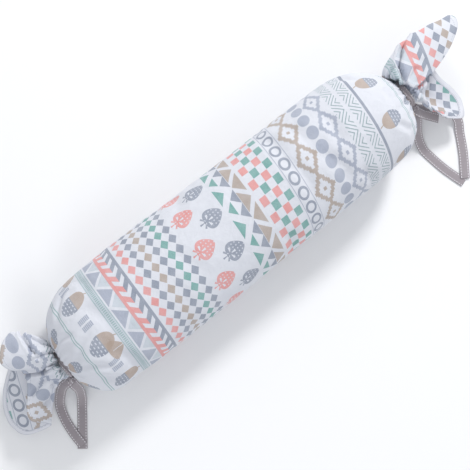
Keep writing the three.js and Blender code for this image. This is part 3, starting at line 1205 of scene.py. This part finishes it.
def ribbon_run(strip, rows):
    """One run of ribbon from the knot, cupped where it is in the air and flat where it lies."""
    rough = spline(rows, np.linspace(0, 1, SAMPLES["ribbon"]))
    length = measured(rough)
    steps = int(length[-1] / RIBBON["step"]) + 1
    at = np.linspace(0, length[-1], steps)
    points = np.stack([np.interp(at, length, rough[:, i]) for i in range(3)], axis=-1)
    ahead = np.gradient(points, axis=0)
    ahead /= np.linalg.norm(ahead, axis=-1, keepdims=True)
    across = np.cross([0, 0, 1], ahead)
    across /= np.linalg.norm(across, axis=-1, keepdims=True)
    normal = np.cross(ahead, across)
    shape = section()
    lift = -0.5 * ((shape[:, 0] / HALF_TAPE) ** 2)
    bend = smoothstep(points[:, 2], 2.5, 14)
    height = shape[None, :, 1:] + (bend[:, None] * lift[None, :])[..., None]
    grid = points[:, None, :] + across[:, None, :] * shape[None, :, :1] + normal[:, None, :] * height
    grid[..., 2] = np.maximum(grid[..., 2], RIBBON["lowest"])
    strip.grid(grid, shape[:, 0], at)
    return length[-1]


def ribbon_wrap(strip, side):
    """The ribbon's turn round a neck, crumpled lengthwise, with an outer and an inner face."""
    turns = 96
    columns = 15
    across = np.linspace(-1, 1, columns)
    inner = NECK["radius"] + 0.5
    shape_u = np.concatenate([HALF_TAPE * across, HALF_TAPE * across[::-1]])
    grid = np.empty((turns, 2 * columns, 3))
    for i in range(turns):
        a = 2 * math.pi * i / turns
        twist = 0.8 * math.sin(a * 2 + 0.6) + 0.5 * math.sin(3 * a)
        fold = np.abs(np.sin(2.2 * math.pi * (across * 0.5 + 0.5) + twist))
        radius = inner + 1.1 + 1.0 * fold
        radius[0] = radius[-1] = inner + 0.9
        both = np.concatenate([radius, np.full(columns, inner)])
        there_and_back = np.concatenate([across, across[::-1]])
        grid[i, :, 0] = side * RIBBON["middle"] + 0.5 * RIBBON["gathered"] * there_and_back
        grid[i, :, 1] = NECK["y"] + both * math.sin(a)
        grid[i, :, 2] = NECK["z"] + both * math.cos(a)
    round_length = 2 * math.pi * (inner + 1)
    strip.grid(grid, shape_u, np.linspace(0, round_length, turns + 1), wrap_rows=True)
    return round_length


def ribbon_knot(strip, side):
    """The knot, and the length of tape that goes into it."""
    rows = 26
    columns = 28
    grid = np.empty((rows, columns, 3))
    for i in range(rows):
        lat = math.pi * (0.04 + 0.92 * i / (rows - 1))
        for k in range(columns):
            lon = 2 * math.pi * k / columns
            fold = 1 + 0.09 * math.sin(3 * lat + 2 * lon + 0.7) + 0.05 * math.sin(7 * lat - lon)
            grid[i, k] = (
                side * KNOT["x"] + 0.5 * KNOT["length"] * fold * math.sin(lat) * math.cos(lon),
                KNOT["y"] + 0.5 * KNOT["width"] * fold * math.sin(lat) * math.sin(lon),
                KNOT["z"] + 0.5 * KNOT["height"] * fold * math.cos(lat),
            )
    grid = grid[::-1]
    u = HALF_TAPE * np.sin(np.linspace(0, 2 * math.pi, columns, endpoint=False))
    strip.grid(grid, u, np.linspace(0, 24, rows))
    return KNOT["tape"]


def tie(name, side, legs, material):
    strip = Strip()
    length = ribbon_wrap(strip, side) + ribbon_knot(strip, side)
    for leg in legs:
        length += ribbon_run(strip, leg)
    obj = place_piece(name, strip.mesh(name), material)
    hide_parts("tie_left" if side < 0 else "tie_right")


def camera():
    place = Vector(CAMERA["place"])
    ahead = (Vector(CAMERA["aim"]) - place).normalized()
    along = (Vector((1, 0, 0)) - ahead.x * ahead).normalized()
    side = Vector((0, -1, 0))
    side = (side - side.dot(ahead) * ahead).normalized()
    right = CAMERA["right"][0] * along + CAMERA["right"][1] * side
    down = CAMERA["down"][0] * along + CAMERA["down"][1] * side
    data = bpy.data.cameras.new("camera")
    data.lens = CAMERA["lens"]
    data.sensor_width = CAMERA["sensor"]
    obj = bpy.data.objects.new("camera", data)
    turn = Matrix((right.normalized(), -down.normalized(), -ahead)).transposed().to_4x4()
    turn.translation = place
    obj.matrix_world = turn
    bpy.context.scene.collection.objects.link(obj)
    bpy.context.scene.camera = obj


def area_light(name, place, aim, size, power, colour):
    data = bpy.data.lights.new(name, "AREA")
    data.shape = "DISK"
    data.size = size
    data.energy = power
    data.color = colour
    obj = bpy.data.objects.new(name, data)
    obj.location = place
    heading = Vector(aim) - Vector(place)
    obj.rotation_euler = heading.to_track_quat("-Z", "Y").to_euler()
    bpy.context.scene.collection.objects.link(obj)


def studio():
    world = bpy.data.worlds.new("studio")
    world.use_nodes = True
    sky = world.node_tree.nodes["Background"]
    sky.inputs["Color"].default_value = DAYLIGHT["colour"]
    sky.inputs["Strength"].default_value = DAYLIGHT["strength"]
    bpy.context.scene.world = world
    bpy.context.scene.view_settings.view_transform = "Standard"
    for light in LIGHTS:
        area_light(*light)
    half = FLOOR["half"]
    corners = [(-half, -half, 0), (half, -half, 0), (half, half, 0), (-half, half, 0)]
    mesh = bpy.data.meshes.new("floor")
    mesh.from_pydata(corners, [], [(0, 1, 2, 3)])
    material, _, surface = shader("floor_paper")
    surface.inputs["Base Color"].default_value = FLOOR["colour"]
    surface.inputs["Roughness"].default_value = FLOOR["roughness"]
    floor = bpy.data.objects.new("floor", mesh)
    floor.location.z = -FLOOR["below"]
    mesh.materials.append(material)
    bpy.context.scene.collection.objects.link(floor)


camera()
studio()
cover = place_piece("cover_cloth", cover_mesh(), cotton())
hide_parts("cover")
ribbon_material = grosgrain()
tie("ribbon_left", -1, LEFT_LEGS, ribbon_material)
tie("ribbon_right", 1, RIGHT_LEGS, ribbon_material)
